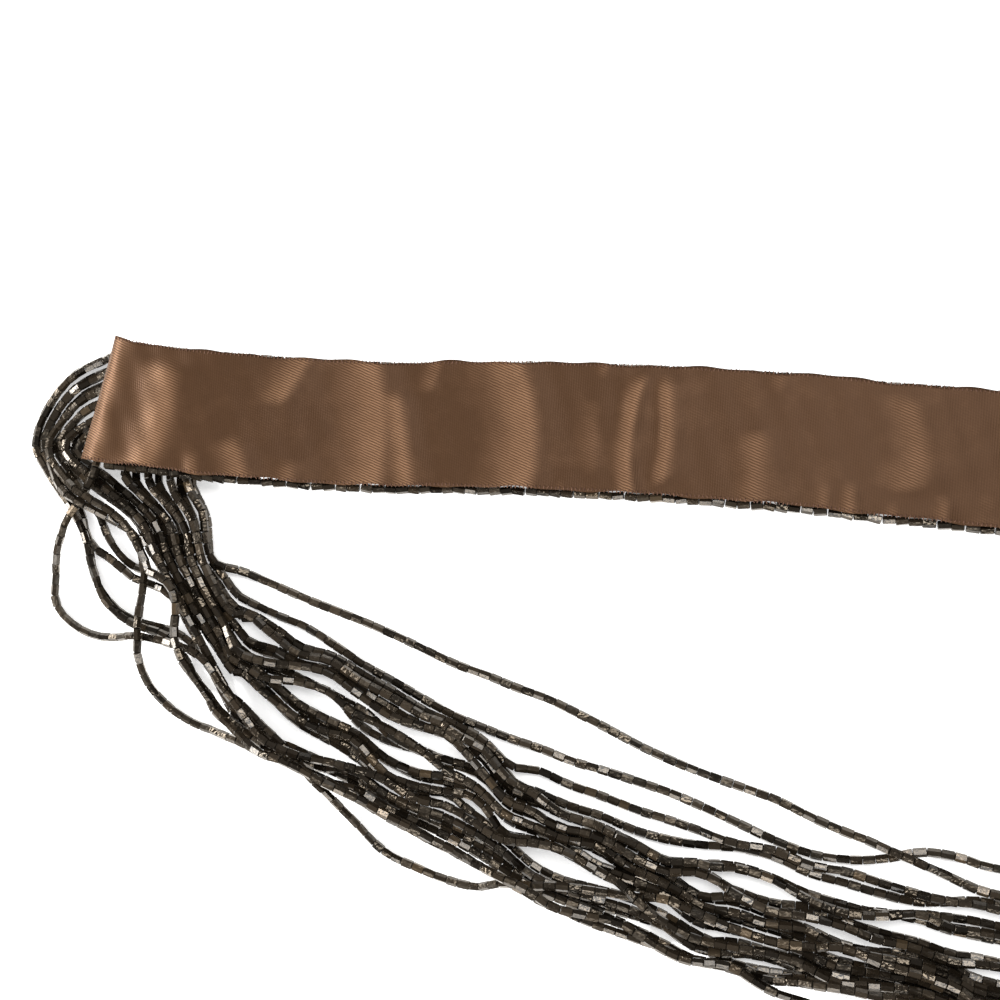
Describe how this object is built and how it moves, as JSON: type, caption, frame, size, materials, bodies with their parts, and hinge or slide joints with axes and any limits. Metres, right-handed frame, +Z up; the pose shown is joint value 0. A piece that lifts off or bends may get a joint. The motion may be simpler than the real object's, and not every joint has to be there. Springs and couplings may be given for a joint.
{
  "type": "beaded belt",
  "caption": "Satin-backed beaded belt laid flat face down, with loose bead strands that loop out at its ends and swing below the band.",
  "frame": {"origin": "under the middle of the bounding box, on the surface that the belt lies on", "axes": "+X along the band, +Y across it from the strands toward the band, +Z up from the surface"},
  "size_m": [0.688, 0.1566, 0.0137],
  "materials": {
    "satin": "brown satin ribbon with a soft sheen",
    "beads": "dark bronze cut glass tube beads, glossy facets"
  },
  "bodies": {
    "root": {"satin_ribbon": "satin", "bead_face": "beads", "bead_row_front": "beads", "bead_row_back": "beads", "strands_left": "beads", "strands_right": "beads"}
  },
  "joints": []
}
